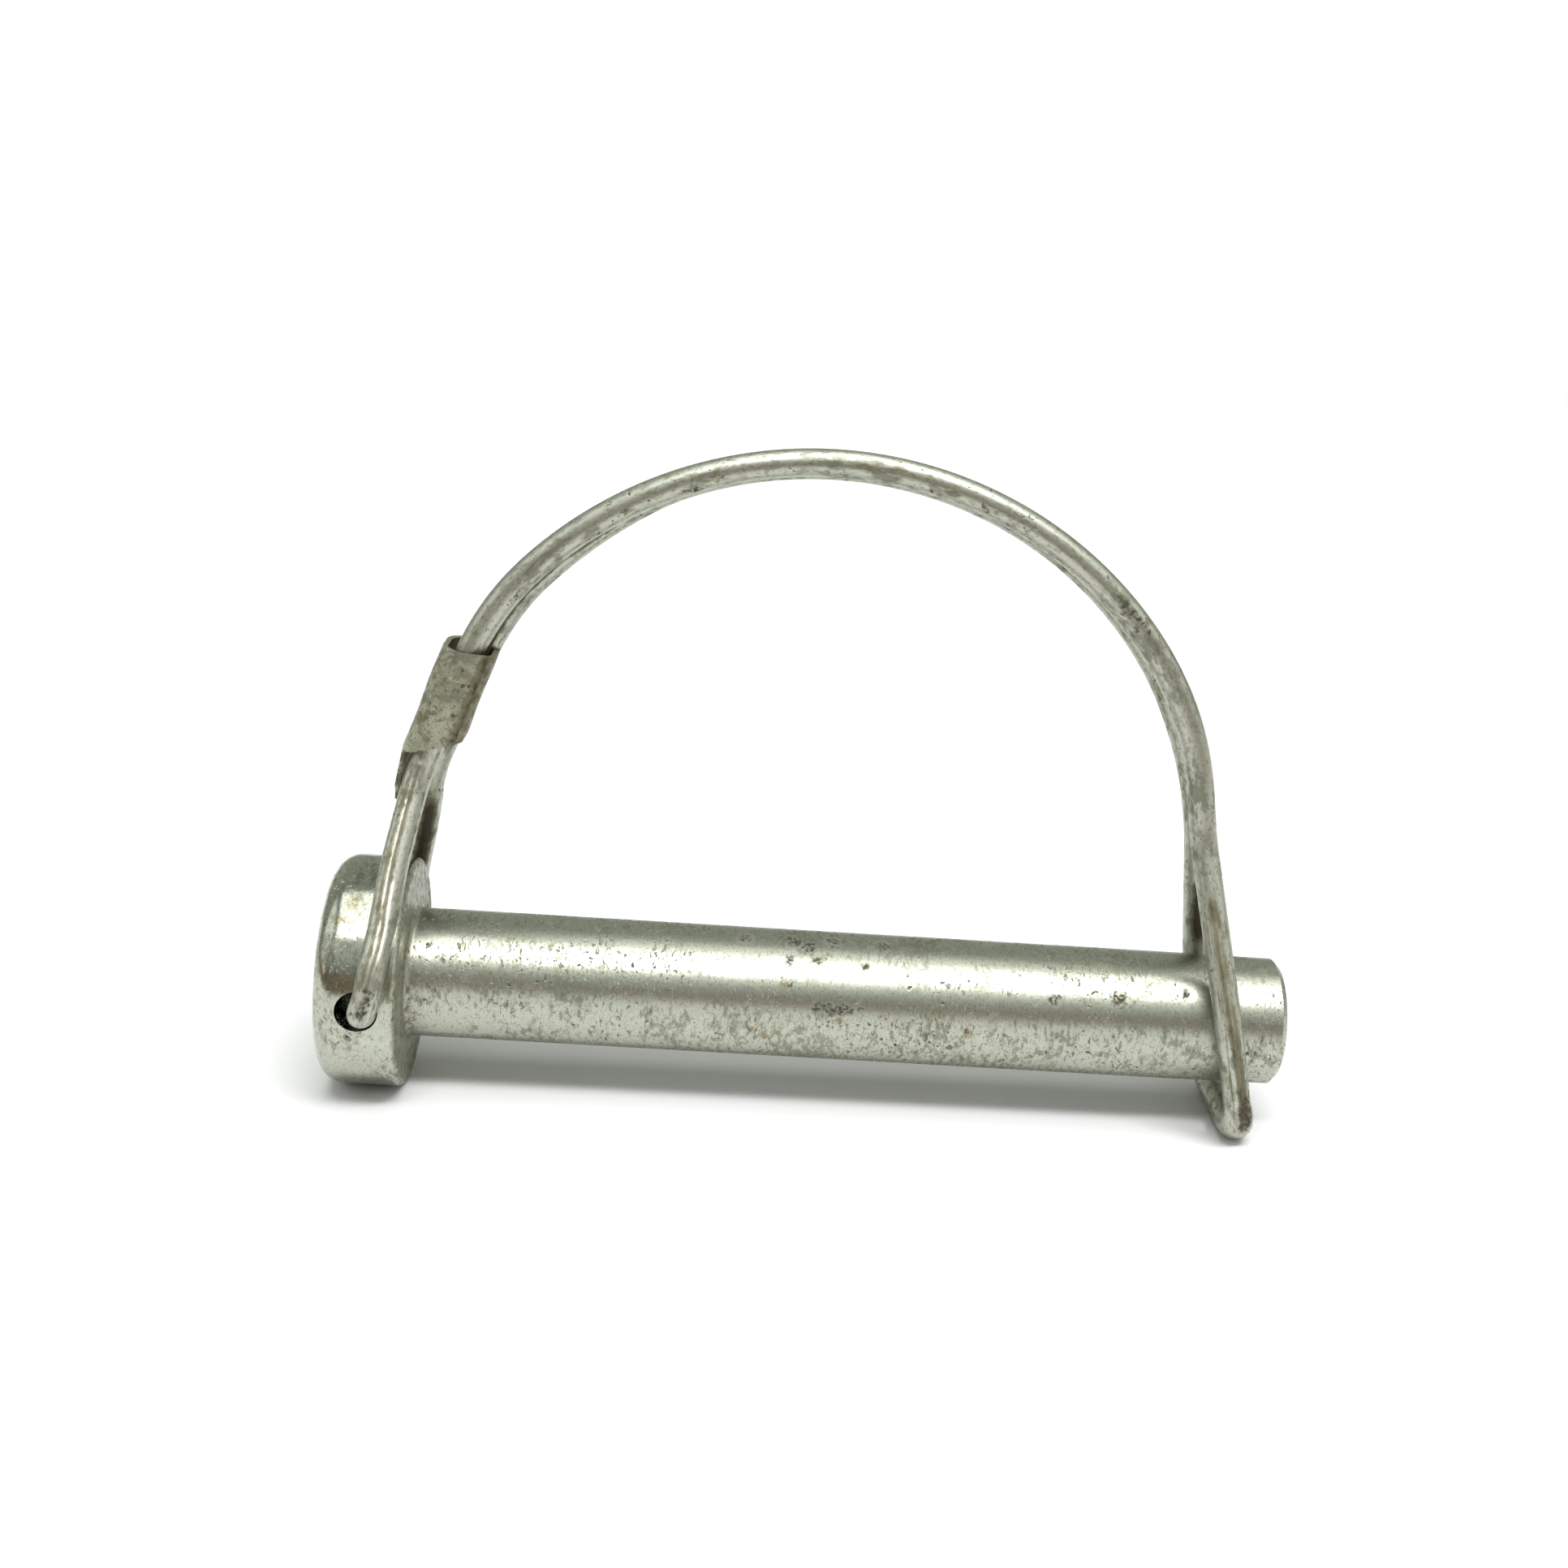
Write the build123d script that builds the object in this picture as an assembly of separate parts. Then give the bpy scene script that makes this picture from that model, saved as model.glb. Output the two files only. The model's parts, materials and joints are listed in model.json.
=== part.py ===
from build123d import *
import math
import os

# Round-wire lock pin: a headed steel pin with a spring-wire bail hinged in a cross hole through the head.
# The bail is one wire bent double. Its two ends sit in the head, its two runs lie side by side over a
# D-shaped arch, and the U-bend that joins them snaps over the end of the shank as a latch.
#
# Millimetres. Origin on the pin's axis at the underside of the head. +X runs along the shank to its tip,
# +Z points at the top of the arch, and the wire ends lie along Y.

# --- driving dimensions ---------------------------------------------------------------------------------
SHANK_DIA = 9.5
PIN_LENGTH = 65.0          # underside of the head to the tip
GRIP_LENGTH = 57.4         # full-size stretch of shank between the head and the latch
TIP_RELIEF = 0.05          # how much the shank narrows in radius from the grip to the tip
TIP_CHAMFER = 0.4
HEAD_DIA = 17.0
HEAD_THICK = 6.05
HEAD_OUTER_ROUND = 1.7
HEAD_INNER_ROUND = 0.55
NECK_FILLET = 0.45         # where the shank meets the head
HOLE_DIA = 2.9             # cross hole through the head
HOLE_X = -2.3

WIRE_DIA = 2.0
RUN_GAP = 0.06             # between the two runs where they lie side by side
STUB_DEPTH = 4.2           # how far each wire end reaches into the cross hole
LEG_CLEAR = 0.3            # between each leg and the side of the head
LEG_BOW_Z = 3.4            # height at which each leg starts to slant inwards
LEG_LEAN = 8.5             # degrees that the legs lean towards the tip
LEG_TOP_Z = 15.45          # where the two legs meet
SLEEVE_LEAN = 21.0         # degrees, lean of the straight stretch that the ferrule wraps
SLEEVE_RUN = 9.6           # length of that stretch, up to the start of the arch
END_BEND = 1.35            # centre-line radius of the bend at each wire end
BOW_BEND = 4.0
KNEE_BEND = 6.0            # side-view bend where the legs meet

ARCH_RADII = (19.9, 29.52)
ARCH_TURNS = (23.4, 98.1)   # degrees; the third arc turns what is left
ARCH_LAST_RADIUS = 26.0
LATCH_LEAN = 10.4          # degrees that the latch legs lean towards the tip
LATCH_CUT_RUN = 0.6        # straight wire between the end of the arch and the flex line
LATCH_SPLIT_Z = 14.3       # where the two runs part to straddle the shank
LATCH_CLEAR = 0.2          # between each latch leg and the side of the shank
LATCH_WIDE_Z = 1.8         # below this height the latch legs run parallel
LATCH_BOTTOM_Z = -6.55     # centre line of the U-bend
LATCH_BEND = 2.4
SPLIT_BEND = 7.0

FERRULE_LEAN = 18.7        # degrees; the sleeve is loose, so it leans a little less than the wires in it
FERRULE_WIDE = 3.85        # outside, in side view
FERRULE_CORNER = 1.35      # outside corner radius of its section
FERRULE_SHIFT = 0.2        # how far its middle lies towards the inside of the arch
FERRULE_START = 2.4        # along the sleeve, from where the legs meet to the middle of its lower end
FERRULE_LENGTH = 7.9
FERRULE_END_SLOPE = 17.0   # degrees that both ends are cut out of square
FERRULE_TONGUE = 3.4       # how much further down a tongue on the ferrule's outer side reaches
FERRULE_SHEET = 0.4
FERRULE_CLEAR = 0.12       # between the sheet and the flank of each run
FERRULE_SEAM = 0.5         # open seam at the front edge that faces the tip

# --- derived values -------------------------------------------------------------------------------------
WIRE_R = WIRE_DIA / 2
SHANK_R = SHANK_DIA / 2
HEAD_R = HEAD_DIA / 2
RUN_Y = WIRE_R + RUN_GAP / 2
LEG_Y = HEAD_R + LEG_CLEAR + WIRE_R
LATCH_Y = SHANK_R + LATCH_CLEAR + WIRE_R


def heading(degrees):
    """Unit direction in the XZ plane, as an angle above +X."""
    a = math.radians(degrees)
    return Vector(math.cos(a), 0, math.sin(a))


def leg_x(z):
    """X of the hinge legs' centre line, in side view, at this height."""
    return HOLE_X + z * math.tan(math.radians(LEG_LEAN))


KNEE = Vector(leg_x(LEG_TOP_Z), 0, LEG_TOP_Z)
SLEEVE_DIR = heading(90 - SLEEVE_LEAN)
ARCH_START = KNEE + SLEEVE_DIR * SLEEVE_RUN


def arch_points():
    """The arch as three arcs: (start, middle, end) of each, and the heading in degrees after the last."""
    arcs = []
    point = ARCH_START
    angle = 90 - SLEEVE_LEAN
    last_turn = angle + 90 - LATCH_LEAN - sum(ARCH_TURNS)
    radii = ARCH_RADII + (ARCH_LAST_RADIUS,)
    turns = ARCH_TURNS + (last_turn,)
    for radius, turn in zip(radii, turns):
        centre = point + heading(angle - 90) * radius
        middle = centre + heading(angle + 90 - turn / 2) * radius
        end = centre + heading(angle + 90 - turn) * radius
        arcs.append((point, middle, end))
        point = end
        angle -= turn
    return arcs, angle


ARCS, LATCH_HEADING = arch_points()
LATCH_DIR = heading(LATCH_HEADING)
CUT = ARCS[-1][2] + LATCH_DIR * LATCH_CUT_RUN


def latch_point(y, z):
    """Point on the latch's leaning plane at this height."""
    return CUT + LATCH_DIR * ((CUT.Z - z) / -LATCH_DIR.Z) + Vector(0, y, 0)


def shifted(point, y):
    return Vector(point.X, y, point.Z)


def sweep_wire(path, start, direction):
    """Round wire along a path that starts at this point in this direction."""
    section = Plane(origin=start, z_dir=direction) * Circle(WIRE_R)
    return sweep(section, path=path)


def make_pin():
    """Head and shank in one piece, turned about the X axis, with the cross hole through the head."""
    tip_r = SHANK_R - TIP_RELIEF
    head_corners = [
        (-HEAD_THICK, 0),
        (-HEAD_THICK, HEAD_R),
        (0, HEAD_R),
        (0, SHANK_R),
        (GRIP_LENGTH, SHANK_R),
    ]
    head_rounds = [HEAD_OUTER_ROUND, HEAD_INNER_ROUND, NECK_FILLET]
    tip_corners = [
        (GRIP_LENGTH, SHANK_R),
        (PIN_LENGTH - TIP_CHAMFER, tip_r),
        (PIN_LENGTH, tip_r - TIP_CHAMFER),
        (PIN_LENGTH, 0),
        (-HEAD_THICK, 0),
    ]
    outline = FilletPolyline(*head_corners, radius=head_rounds) + Polyline(*tip_corners)
    profile = Plane.XZ * make_face(outline)
    body = revolve(profile, axis=Axis.X)
    hole = Pos(HOLE_X, 0, 0) * Rot(90, 0, 0) * Cylinder(HOLE_DIA / 2, HEAD_DIA + 2)
    return body - hole


def make_run(side):
    """One run of the bail: from its end in the cross hole, up past the head and over the arch to the cut.

    side is -1 for the run in front (-Y) and 1 for the one behind.
    """
    end_in_hole = Vector(HOLE_X, side * (HEAD_R - STUB_DEPTH), 0)
    corner = Vector(HOLE_X, side * LEG_Y, 0)
    bow = Vector(leg_x(LEG_BOW_Z), side * LEG_Y, LEG_BOW_Z)
    knee = shifted(KNEE, side * RUN_Y)
    straight_end = shifted(ARCH_START, side * RUN_Y)
    leg = FilletPolyline(end_in_hole, corner, bow, knee, straight_end, radius=[END_BEND, BOW_BEND, KNEE_BEND])
    path = leg
    for start, middle, end in ARCS:
        path += ThreePointArc(*(shifted(p, side * RUN_Y) for p in (start, middle, end)))
    path += Line(shifted(ARCS[-1][2], side * RUN_Y), shifted(CUT, side * RUN_Y))
    return sweep_wire(path, end_in_hole, Vector(0, side, 0))


def make_latch():
    """The bail's closed end: both runs part, straddle the shank and join in a U-bend under it."""
    points = []
    for side in (-1, 1):
        half = [
            shifted(CUT, side * RUN_Y),
            latch_point(side * RUN_Y, LATCH_SPLIT_Z),
            latch_point(side * LATCH_Y, LATCH_WIDE_Z),
            latch_point(side * LATCH_Y, LATCH_BOTTOM_Z),
        ]
        points += half if side < 0 else half[::-1]
    bends = [SPLIT_BEND, SPLIT_BEND, LATCH_BEND]
    path = FilletPolyline(*points, radius=bends + bends[::-1])
    return sweep_wire(path, points[0], LATCH_DIR)


def make_ferrule():
    """Sheet-metal sleeve rolled loosely round both runs, with an open seam and a longer tongue."""
    deep = 2 * (RUN_Y + WIRE_R + FERRULE_CLEAR + FERRULE_SHEET)
    reach = 2 * (FERRULE_LENGTH + FERRULE_TONGUE)
    height = FERRULE_LENGTH * math.cos(math.radians(FERRULE_END_SLOPE))
    outside = RectangleRounded(FERRULE_WIDE, deep, FERRULE_CORNER)
    inside = offset(outside, amount=-FERRULE_SHEET)
    shell = extrude(outside - inside, reach / 2, both=True)
    slanted = Rot(0, -FERRULE_END_SLOPE, 0) * Box(reach, reach, height)
    tongue = Pos(-FERRULE_WIDE / 2, 0, -FERRULE_TONGUE) * Box(2 * FERRULE_SHEET, 2 * RUN_Y, FERRULE_LENGTH)
    seam = Pos(FERRULE_WIDE / 2, -RUN_Y * 0.9, 0) * Box(3 * FERRULE_SHEET, FERRULE_SEAM, reach)
    tube = (shell & (slanted + tongue)) - seam
    axis = heading(90 - FERRULE_LEAN)
    across = Vector(axis.Z, 0, -axis.X)
    middle = KNEE + axis * (FERRULE_START + FERRULE_LENGTH / 2) + across * FERRULE_SHIFT
    return Plane(origin=middle, x_dir=across, z_dir=axis) * tube


PARTS = {
    "pin": make_pin(),
    "wire_front_run": make_run(-1),
    "wire_rear_run": make_run(1),
    "latch_loop": make_latch(),
    "ferrule": make_ferrule(),
}

os.makedirs("parts", exist_ok=True)
for name, shape in PARTS.items():
    export_step(shape, f"parts/{name}.step")
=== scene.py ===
import json
import math

import bmesh
import bpy
from mathutils import Matrix, Quaternion, Vector


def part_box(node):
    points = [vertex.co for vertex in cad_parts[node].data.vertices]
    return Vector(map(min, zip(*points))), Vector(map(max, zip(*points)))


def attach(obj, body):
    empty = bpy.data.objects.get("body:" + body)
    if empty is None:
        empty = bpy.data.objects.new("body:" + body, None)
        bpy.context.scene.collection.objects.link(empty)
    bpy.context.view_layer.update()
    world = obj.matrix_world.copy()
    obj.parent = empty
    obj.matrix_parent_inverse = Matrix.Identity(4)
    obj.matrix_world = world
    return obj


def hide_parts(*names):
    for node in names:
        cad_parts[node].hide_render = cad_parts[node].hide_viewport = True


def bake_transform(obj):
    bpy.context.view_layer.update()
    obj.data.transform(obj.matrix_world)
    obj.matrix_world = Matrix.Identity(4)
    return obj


# Looks of the round-wire lock pin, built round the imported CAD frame. Metres, in the frame's own axes:
# +X runs along the shank to its tip, +Z points at the top of the arch, -Y is the side that is seen.

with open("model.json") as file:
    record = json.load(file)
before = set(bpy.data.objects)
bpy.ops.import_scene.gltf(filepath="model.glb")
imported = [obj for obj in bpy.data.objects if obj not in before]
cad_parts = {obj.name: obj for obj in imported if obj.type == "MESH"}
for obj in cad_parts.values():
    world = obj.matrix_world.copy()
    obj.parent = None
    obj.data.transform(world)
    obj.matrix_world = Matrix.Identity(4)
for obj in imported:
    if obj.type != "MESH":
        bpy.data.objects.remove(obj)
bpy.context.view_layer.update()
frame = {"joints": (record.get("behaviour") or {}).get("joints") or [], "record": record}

MM = 0.001

# --- sizes read from the frame --------------------------------------------------------------------------
JOINTS = {joint["name"]: joint for joint in frame["joints"]}
MOUNTS = {mount["name"]: mount for mount in frame["record"]["mounts"]}
PIN_LOW, PIN_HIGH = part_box("pin")
LATCH_LOW, LATCH_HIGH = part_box("latch_loop")
RUN_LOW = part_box("wire_front_run")[0]

HEAD_R = PIN_HIGH.z
HEAD_THICK = -PIN_LOW.x
PIN_LENGTH = PIN_HIGH.x
SHANK_R = MOUNTS["shank"]["dims"]["r_mm"] * MM
GRIP_LENGTH = 57.4 * MM
HINGE_X = JOINTS["bail_swing"]["pos_m"][0]
FLEX_LINE = Vector(JOINTS["latch_flex"]["pos_m"])

# --- shape of the pin -----------------------------------------------------------------------------------
HEAD_OUTER_ROUND = 1.7 * MM
HEAD_INNER_ROUND = 0.55 * MM
NECK_FILLET = 0.45 * MM
TIP_CHAMFER = 0.4 * MM
TIP_RELIEF = 0.05 * MM
HOLE_R = 1.47 * MM
HOLE_SHIFT = -0.39 * MM          # the wire lies against the side of the hole that faces the shank
HOLE_FLARE = 0.06 * MM           # worn edge at each mouth of the cross hole
AROUND = 192                     # faces round the pin

# --- shape of the wire ----------------------------------------------------------------------------------
WIRE_R = 1.0 * MM
STUB_DEPTH = 4.2 * MM
LEG_Y = -RUN_LOW.y - WIRE_R
LEG_BOW_Z = 3.4 * MM
LEG_LEAN = math.radians(8.5)
LEG_TOP_Z = 15.45 * MM
SLEEVE_LEAN = math.radians(21)
SLEEVE_RUN = 9.6 * MM
END_BEND = 1.35 * MM
BOW_BEND = 4.0 * MM
KNEE_BEND = 6.0 * MM
ARCH_RADII = (19.9 * MM, 29.52 * MM, 26.0 * MM)
ARCH_TURNS = (math.radians(23.4), math.radians(98.1))
LATCH_LEAN = math.radians(10.4)
LATCH_SPLIT_Z = 14.3 * MM
LATCH_WIDE_Z = 1.8 * MM
LATCH_Y = LATCH_HIGH.y - WIRE_R
LATCH_BOTTOM_Z = LATCH_LOW.z + WIRE_R
LATCH_BEND = 2.4 * MM
SPLIT_BEND = 7.0 * MM
RUN_Y = WIRE_R + 0.03 * MM
WIRE_STEP = 0.3 * MM
WIRE_SIDES = 40
WIRE_END_ROUND = 0.7 * MM
ARCH_TOP_SHARE = 0.27            # of the way along the whole wire to the top of the arch

REAR_SAG = 0.72 * MM             # the rear run lies this much further inside the arch at the ferrule
REAR_SAG_TOP = 0.3 * MM          # and this much over the rest of it
FRONT_LIFT = 0.15 * MM           # the front run lies this much further outside
FRONT_BOW = 0.3 * MM             # and its leg bows this much towards the shank beside the head
BEND_DROP = 0.12 * MM            # how much lower the U-bend hangs than its CAD solid
BEND_PUSH = 0.35 * MM            # and how much further out it lies
BEND_WIDENING = 0.2 * MM         # how much the U-bend's section is widened by the tight bend
STUB_SLANT = 0.06 * MM           # how far each wire end leans away from the shank inside the hole
ELBOW_SHIFT = 0.1 * MM           # and how far its elbow leans towards it
HINGE_SIDE_X = 10 * MM           # the hinge legs lie nearer the head than this
ARCH_MIDDLE = Vector((28, 0, 16)) * MM

# Marks that the forming tool left. Angles are radians round the section from the flank that faces away from
# the other run, positive towards the outside of the arch.
FACET_DEPTH = 0.06 * MM          # flat along each latch leg
FACET_TOP_Z = 10.2 * MM
FACET_LOW_ANGLE = math.radians(18)      # where its middle lies at the bottom of the leg
FACET_HIGH_ANGLE = math.radians(-6)     # and at the top
FACET_EDGE = 0.42                # from its middle to the small ridge at each side
RIDGE_HEIGHT = 0.02 * MM
LEG_FLAT_DEPTH = 0.08 * MM       # flat along the outer side of each hinge leg
LEG_FLAT_ANGLE = 0.4             # from the groove to the middle of that flat
GROOVE_DEPTH = 0.12 * MM         # groove beside it
GROOVE_WIDTH = 0.17
GROOVE_TOP_Z = 16.4 * MM
SECOND_GROOVE_ANGLE = -0.75      # a fainter groove on the other side
LIP_HEIGHT = 0.05 * MM           # where the groove ends

# --- shape of the ferrule -------------------------------------------------------------------------------
FERRULE_LEAN = math.radians(18.7)
FERRULE_WIDE = 3.85 * MM         # outside, in side view
FERRULE_DEEP = 5.0 * MM          # outside, across both runs
FERRULE_CORNER = 1.3 * MM
FERRULE_SHIFT = 0.2 * MM         # how far its middle lies towards the inside of the arch
FERRULE_BOTTOM = 2.75 * MM       # middle of the lower end, along the sleeve from where the legs meet
FERRULE_TOP = 10.3 * MM
FERRULE_BOTTOM_SLOPE = 0.65      # how much each end rises towards the inside of the arch
FERRULE_TOP_SLOPE = 0.2
FERRULE_TONGUE = 3.9 * MM
FERRULE_LAP = 0.42 * MM          # depth of the step at the front seam, where one end lies under the other
FERRULE_CROWN = 0.14 * MM        # how far the front sheet bulges
FERRULE_DENT = 0.035 * MM        # depth of the shallow dents all over it
FERRULE_STEP = 0.13 * MM
FERRULE_ROWS = 40
SHEET = 0.36 * MM

# --- camera and floor -----------------------------------------------------------------------------------
CAMERA_PLACE = Vector((22.56, -141.97, 57.31)) * MM
CAMERA_YAW = math.radians(2.563)
CAMERA_PITCH = math.radians(13.58)
CAMERA_ROLL = math.radians(4.3185)
CAMERA_LENS = 46.12
CAMERA_SHIFT = (-0.0241, -0.0549)
FLOOR_RADIUS = 0.5
FLOOR_FRONT = -0.09              # the floor's front edge, below the camera's view


def heading(angle):
    """Unit direction in the XZ plane, as an angle above +X."""
    return Vector((math.cos(angle), 0, math.sin(angle)))


def smooth(value, low, high):
    """0 below low, 1 above high, and a smooth rise between them."""
    t = min(max((value - low) / (high - low), 0.0), 1.0)
    return t * t * (3 - 2 * t)


def span(value, low, full, fading, high):
    """1 from full to fading, falling smoothly to 0 at low and at high."""
    return smooth(value, low, full) * (1 - smooth(value, fading, high))


def bump(value, centre, width):
    """1 at the centre, falling to 0 some two widths from it."""
    return math.exp(-(((value - centre) / width) ** 2))


def add_run(route, end, step):
    """Goes on in a straight line to end, in steps."""
    start = route[-1]
    count = max(1, math.ceil((end - start).length / step))
    route += [start.lerp(end, k / count) for k in range(1, count + 1)]


def add_turn(route, centre, axis, turn, step):
    """Goes on round a centre by an angle, in steps."""
    spoke = route[-1] - centre
    count = max(2, math.ceil(spoke.length * abs(turn) / step))
    route += [centre + Quaternion(axis, turn * k / count) @ spoke for k in range(1, count + 1)]


def rounded_route(corners, radii, step):
    """Points along straight runs joined by tangent arcs, one radius for each inner corner."""
    route = [corners[0]]
    for before, corner, after, radius in zip(corners, corners[1:], corners[2:], radii):
        arriving = (corner - before).normalized()
        leaving = (after - corner).normalized()
        turn = arriving.angle(leaving)
        axis = arriving.cross(leaving).normalized()
        start = corner - arriving * radius * math.tan(turn / 2)
        add_run(route, start, step)
        add_turn(route, start + axis.cross(arriving) * radius, axis, turn, min(step, radius * 0.12))
    add_run(route, corners[-1], step)
    return route


def evenly(route, step):
    """The same line with its points the same distance apart."""
    lengths = [0.0]
    for a, b in zip(route, route[1:]):
        lengths.append(lengths[-1] + (b - a).length)
    count = round(lengths[-1] / step)
    spread = []
    i = 0
    for k in range(count + 1):
        want = lengths[-1] * k / count
        while i < len(route) - 2 and lengths[i + 1] < want:
            i += 1
        span = max(lengths[i + 1] - lengths[i], 1e-9)
        spread.append(route[i].lerp(route[i + 1], (want - lengths[i]) / span))
    return spread


# --- the wire -------------------------------------------------------------------------------------------
def leg_x(z):
    return HINGE_X + z * math.tan(LEG_LEAN)


KNEE = Vector((leg_x(LEG_TOP_Z), 0, LEG_TOP_Z))
SLEEVE_DIR = heading(math.pi / 2 - SLEEVE_LEAN)
LATCH_DIR = heading(LATCH_LEAN - math.pi / 2)
CUT = FLEX_LINE - heading(LATCH_LEAN) * WIRE_R     # the flex line lies on the latch's outer skin


def latch_point(y, z):
    """Point on the latch's leaning plane at this height."""
    return CUT + LATCH_DIR * ((CUT.z - z) / -LATCH_DIR.z) + Vector((0, y, 0))


def half_route(side):
    """Centre line of one run, from its end in the cross hole to the middle of the U-bend under the shank.

    side is -1 for the run in front (-Y) and 1 for the one behind.
    """

    def at(point, y):
        return Vector((point.x, side * y, point.z))

    corners = [
        Vector((HINGE_X - STUB_SLANT, side * (HEAD_R - STUB_DEPTH), 0)),
        Vector((HINGE_X + ELBOW_SHIFT, side * LEG_Y, 0)),
        Vector((leg_x(LEG_BOW_Z), side * LEG_Y, LEG_BOW_Z)),
        at(KNEE, RUN_Y),
        at(KNEE + SLEEVE_DIR * SLEEVE_RUN, RUN_Y),
    ]
    route = rounded_route(corners, [END_BEND, BOW_BEND, KNEE_BEND], WIRE_STEP)
    angle = math.pi / 2 - SLEEVE_LEAN
    last_turn = angle + math.pi / 2 - LATCH_LEAN - sum(ARCH_TURNS)
    for radius, turn in zip(ARCH_RADII, ARCH_TURNS + (last_turn,)):
        centre = route[-1] + heading(angle - math.pi / 2) * radius
        add_turn(route, centre, Vector((0, 1, 0)), turn, WIRE_STEP)
        angle -= turn
    corners = [
        route[-1],
        latch_point(side * RUN_Y, LATCH_SPLIT_Z),
        latch_point(side * LATCH_Y, LATCH_WIDE_Z),
        latch_point(side * LATCH_Y, LATCH_BOTTOM_Z - BEND_DROP),
        latch_point(0, LATCH_BOTTOM_Z - BEND_DROP),
    ]
    route += rounded_route(corners, [SPLIT_BEND, SPLIT_BEND, LATCH_BEND], WIRE_STEP)[1:]
    return evenly(route, WIRE_STEP)


def inward_shift(side, place):
    """How far a point of one run really lies from its place in CAD, towards the inside of the arch."""
    on_arch = smooth(place.z, 15 * MM, 24 * MM)
    push = 0
    if place.x > LATCH_LOW.x:
        push = BEND_PUSH * (1 - smooth(place.z, -6 * MM, 3 * MM))
    if side < 0:
        bow = 0
        if place.x < HINGE_SIDE_X:
            bow = FRONT_BOW * span(place.z, 0, 2 * MM, 5 * MM, 11 * MM)
        return bow - FRONT_LIFT * on_arch - push
    low = REAR_SAG * smooth(place.z, 1 * MM, 14 * MM) * (1 - smooth(place.x, 8 * MM, 24 * MM))
    return max(low, REAR_SAG_TOP * on_arch) - push


def real_half(side):
    """The centre line of one run as it really lies, a little out of line with the other."""
    settled = []
    for point in half_route(side):
        inward = (ARCH_MIDDLE - point) * Vector((1, 0, 1))
        if point.x < ARCH_MIDDLE.x and point.z < ARCH_MIDDLE.z:
            inward = Vector((1, 0, 0))
        settled.append(point + inward.normalized() * inward_shift(side, point))
    return settled


def latch_facet_turn(place, angle):
    """Angle round the section from the middle of the latch leg's flat, which winds a little up the leg."""
    middle = FACET_LOW_ANGLE + (FACET_HIGH_ANGLE - FACET_LOW_ANGLE) * smooth(place.z, -4 * MM, 12 * MM)
    return angle + math.pi / 2 - middle


def groove_angle(place):
    """Where the groove lies round a hinge leg's section. It wanders a little up the leg."""
    return 0.13 - 0.25 * bump(place.z, 5 * MM, 2 * MM)


def latch_radius(place, angle):
    """From the centre line to the skin on the latch: a long flat between two ridges, and a wide U-bend."""
    on_leg = span(
        place.z, LATCH_BOTTOM_Z, LATCH_BOTTOM_Z + 1.5 * MM, FACET_TOP_Z, FACET_TOP_Z + 0.4 * MM
    )
    turned = latch_facet_turn(place, angle)
    flat = (WIRE_R - FACET_DEPTH) / max(math.cos(turned), 0.3)
    ridges = bump(turned, FACET_EDGE, 0.09) + bump(turned, -FACET_EDGE, 0.09)
    at_bend = 1 - smooth(place.z, LATCH_BOTTOM_Z + 0.2 * MM, LATCH_BOTTOM_Z + 3 * MM)
    skin = WIRE_R + BEND_WIDENING * math.cos(angle) ** 2 * at_bend
    return skin - on_leg * (max(0.0, WIRE_R - flat) - RIDGE_HEIGHT * ridges)


def hinge_radius(place, angle):
    """From the centre line to the skin on a hinge leg: a flat, grooves beside it, and a lip at the top."""
    away = angle + math.pi / 2
    groove = groove_angle(place)
    pressed = span(place.z, 0.6 * MM, 2.4 * MM, GROOVE_TOP_Z, GROOVE_TOP_Z + 0.3 * MM)
    flat = (WIRE_R - LEG_FLAT_DEPTH) / max(math.cos(away - groove - LEG_FLAT_ANGLE), 0.3)
    grooves = bump(away, groove, GROOVE_WIDTH) + 0.25 * bump(away, SECOND_GROOVE_ANGLE, 0.1)
    grooves -= 0.25 * bump(away, groove - 0.32, 0.14)
    sunk = max(0.0, WIRE_R - flat) + GROOVE_DEPTH * grooves
    lip = LIP_HEIGHT * bump(place.z, GROOVE_TOP_Z + 0.5 * MM, 0.35 * MM) * bump(away, 0, 0.5)
    return WIRE_R - pressed * sunk + lip


def section_radius(place, angle):
    """Distance from the wire's centre line to its skin.

    angle is 0 on the outside of the arch and -90 degrees on the flank that faces away from the other run.
    """
    if place.x > LATCH_LOW.x:
        return latch_radius(place, angle)
    if place.x < HINGE_SIDE_X:
        return hinge_radius(place, angle)
    return WIRE_R


def hinge_grime_and_shade(place, away, inner):
    """Darkening of a hinge leg: painted shade in its groove, on its flat and along its edge by the head,
    with some dirt there, and painted black shade between the two legs.
    """
    groove = groove_angle(place)
    # between paints black shade on each leg's side that faces the other leg
    between = bump(inner, 0.35, 0.6) * span(place.z, 3 * MM, 6 * MM, 12 * MM, 15 * MM)
    # the groove, flat and edge terms paint shade where the pressed surface reflects little light, on top of
    # some dirt
    pressed = max(
        0.85 * bump(away, groove, 0.21),
        0.65 * bump(away, groove + 0.5, 0.3),
        0.5 * bump(away, -0.95, 0.2),
    )
    return max(pressed * smooth(place.z, 1.5 * MM, 3 * MM), 1.5 * between)


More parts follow.
